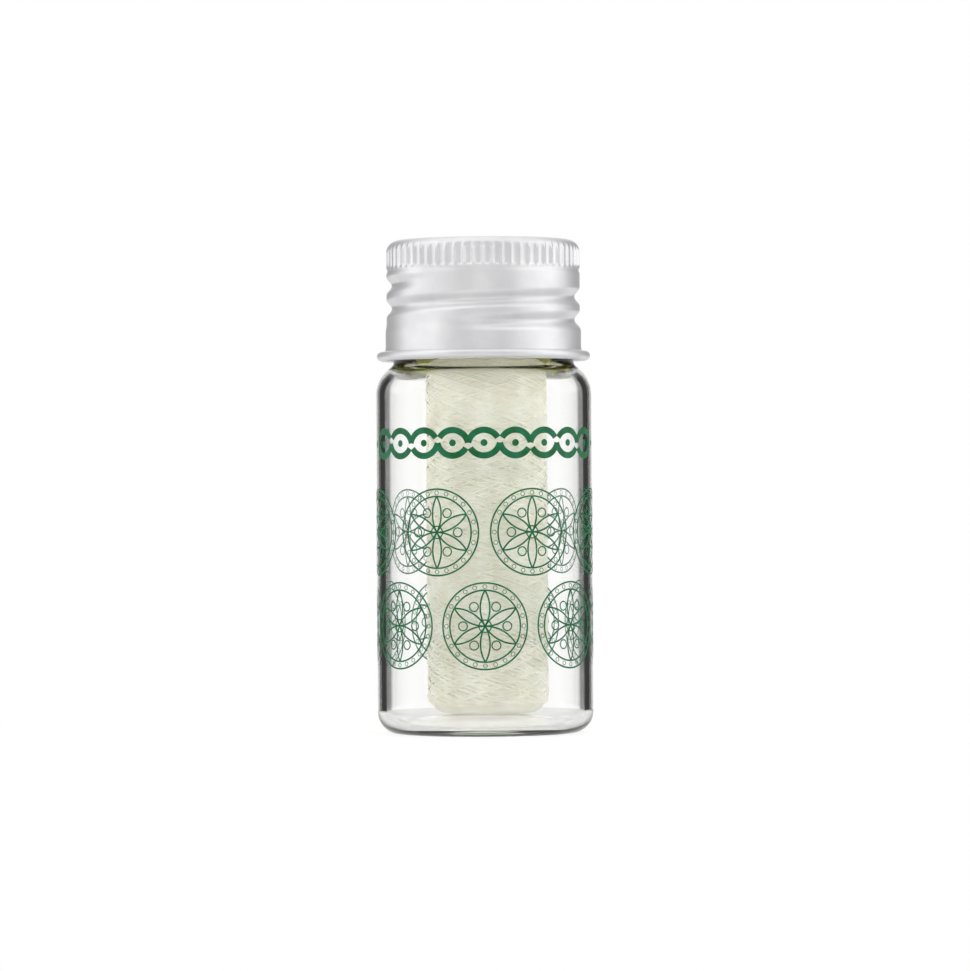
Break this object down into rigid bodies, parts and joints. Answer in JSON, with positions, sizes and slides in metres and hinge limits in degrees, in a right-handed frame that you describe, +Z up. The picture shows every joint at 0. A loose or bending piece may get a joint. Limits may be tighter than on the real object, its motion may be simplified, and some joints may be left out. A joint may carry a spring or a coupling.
{
  "type": "dental floss dispenser",
  "caption": "Clear glass screw vial holding a cross-wound floss package, with a rolled aluminium screw cap over a neck plug that has a floss hole and a cutter.",
  "frame": {"origin": "centre of the flat ring that the vial stands on", "axes": "+Z up along the vial's axis, -Y towards the front that the picture shows, +X to the right of that view"},
  "size_m": [0.03, 0.03, 0.0685],
  "materials": {
    "vial_glass": "gloss",
    "cap_aluminium": "satin",
    "liner_foam": "matte",
    "insert_plastic": "satin",
    "blade_steel": "brushed",
    "floss": "matte"
  },
  "bodies": {
    "vial": {"glass_vial": "vial_glass", "dispenser_insert": "insert_plastic", "floss_cutter": "blade_steel", "floss_lead": "floss"},
    "liner": {"cap_liner": "liner_foam"},
    "cap": {"cap_shell": "cap_aluminium"},
    "package": {"floss_core": "floss", "floss_winding": "floss"}
  },
  "joints": [
    {"name": "cap_lift", "type": "slide", "parent": "vial", "child": "liner", "axis": [0, 0, 1], "range_m": [0, 0.0159]},
    {"name": "cap_turn", "type": "hinge", "parent": "liner", "child": "cap", "pos_m": [0, 0, 0.06], "axis": [0, 0, 1], "range_deg": [0, 1800]},
    {"name": "package_spin", "type": "hinge", "parent": "vial", "child": "package", "pos_m": [0.00035, 0, 0.0028], "axis": [0, 0, 1], "continuous": true}
  ],
  "couplings": [
    {"joint": "cap_lift", "follows": "cap_turn", "m_per_rad": 0.00050532}
  ]
}
